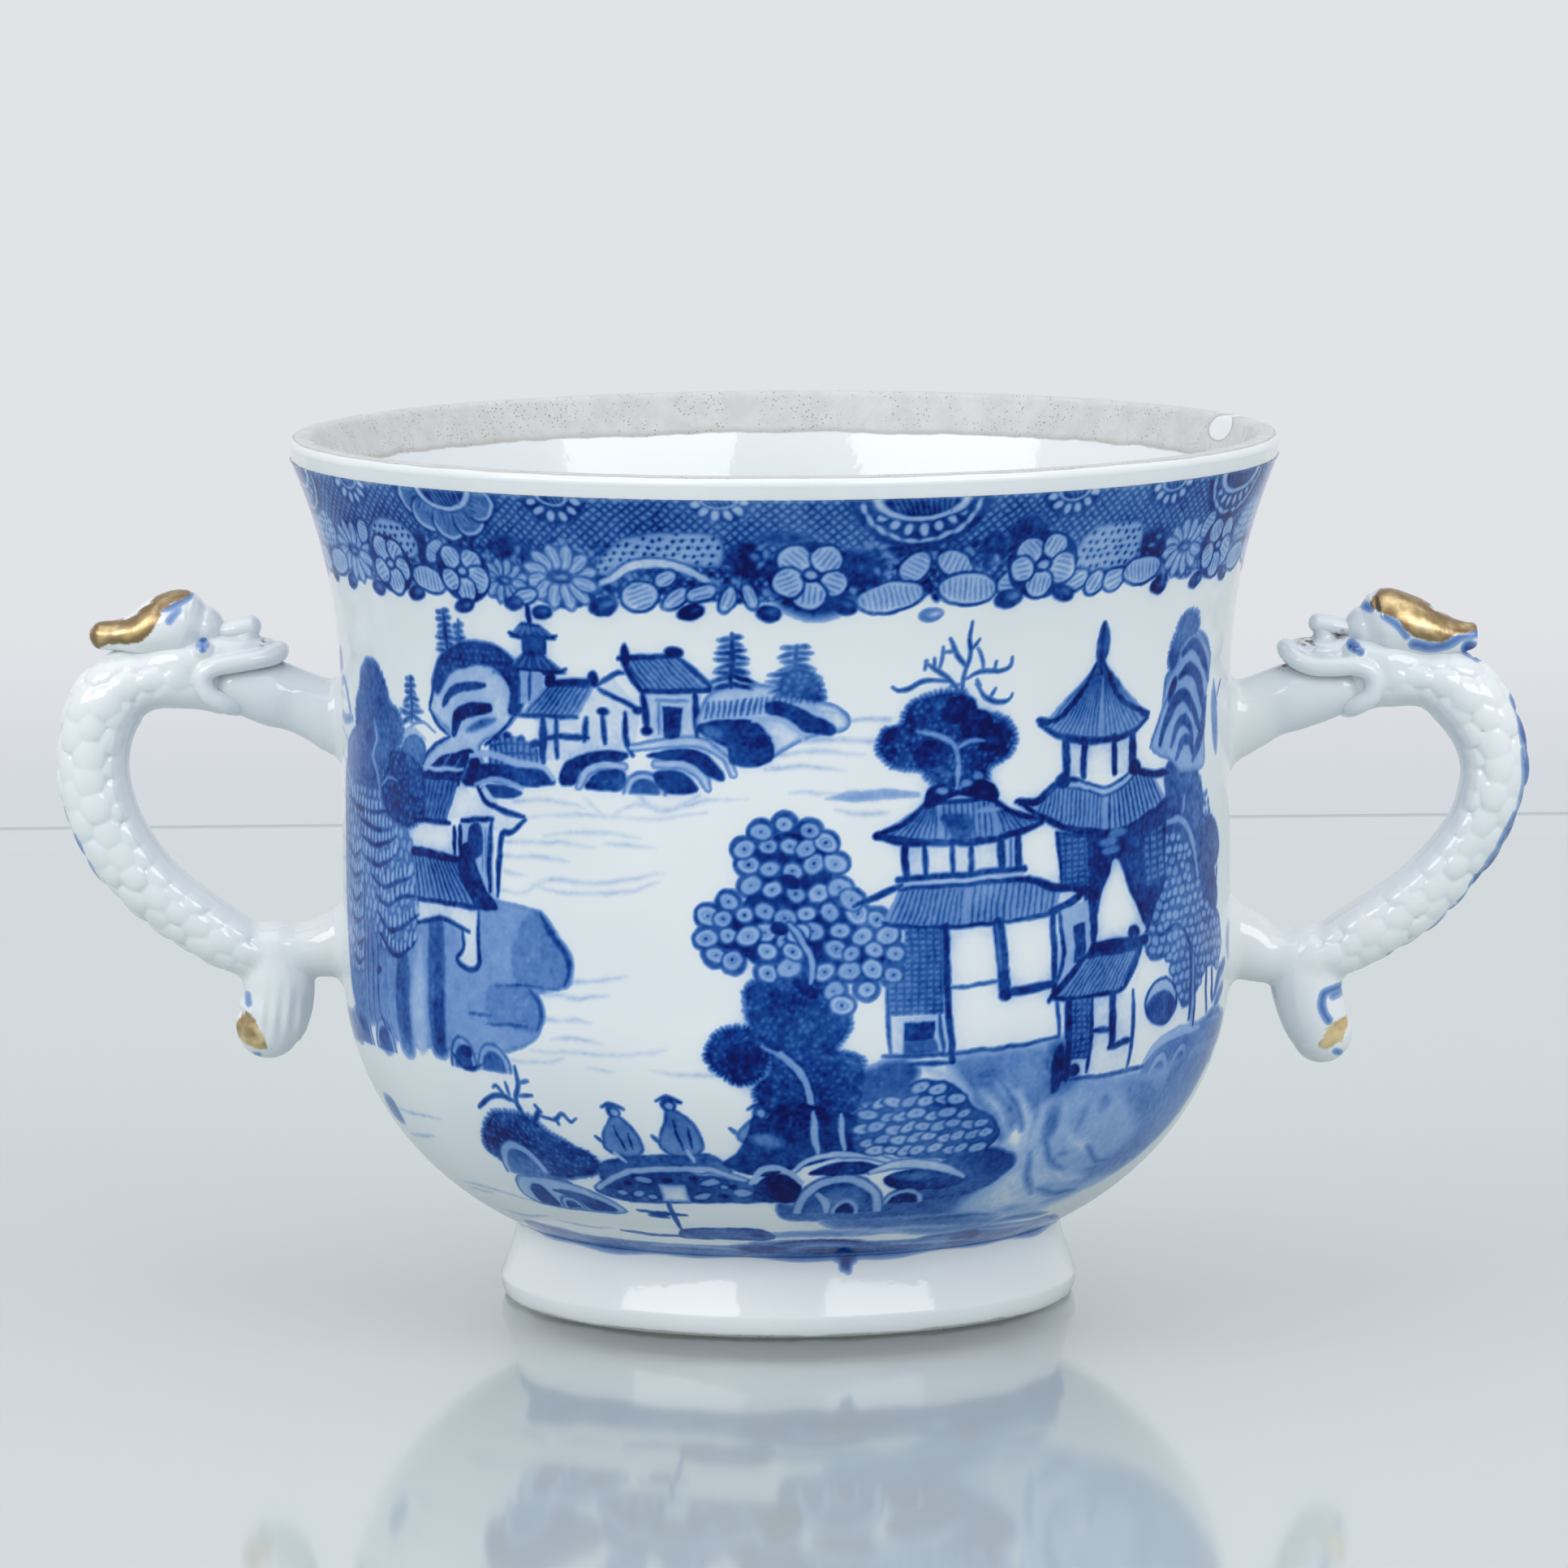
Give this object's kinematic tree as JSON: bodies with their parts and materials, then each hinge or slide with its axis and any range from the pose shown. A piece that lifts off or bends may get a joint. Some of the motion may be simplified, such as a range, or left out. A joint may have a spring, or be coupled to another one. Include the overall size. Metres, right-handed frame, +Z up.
{
  "type": "two-handled chocolate cup",
  "caption": "Bell-shaped porcelain chocolate cup on a splayed foot ring, with scaled dragon handles biting smooth arms, and a painted river landscape under the glaze.",
  "frame": {"origin": "centre of the foot ring's ground circle, on the surface the cup stands on", "axes": "+Z up along the cup's turning axis, +X through the middle of the right handle, -Y towards the pictured side"},
  "size_m": [0.1556, 0.104, 0.091],
  "materials": {
    "painted_glaze": "glossy bluish-white porcelain glaze over cobalt-blue painting, unglazed speckled band inside the lip",
    "white_glaze": "glossy bluish-white porcelain glaze with a few cobalt-blue strokes and worn gilt patches",
    "gilding": "porcelain under a film of worn gilding, rubbed through to white glaze and cobalt blue at the edges"
  },
  "bodies": {
    "root": {"bowl": "painted_glaze", "foot_ring": "white_glaze", "right_dragon": "white_glaze", "right_upper_arm": "white_glaze", "right_lower_arm": "white_glaze", "right_crest": "gilding", "right_nose_curl": "white_glaze", "left_dragon": "white_glaze", "left_upper_arm": "white_glaze", "left_lower_arm": "white_glaze", "left_crest": "gilding", "left_nose_curl": "white_glaze"}
  },
  "joints": []
}
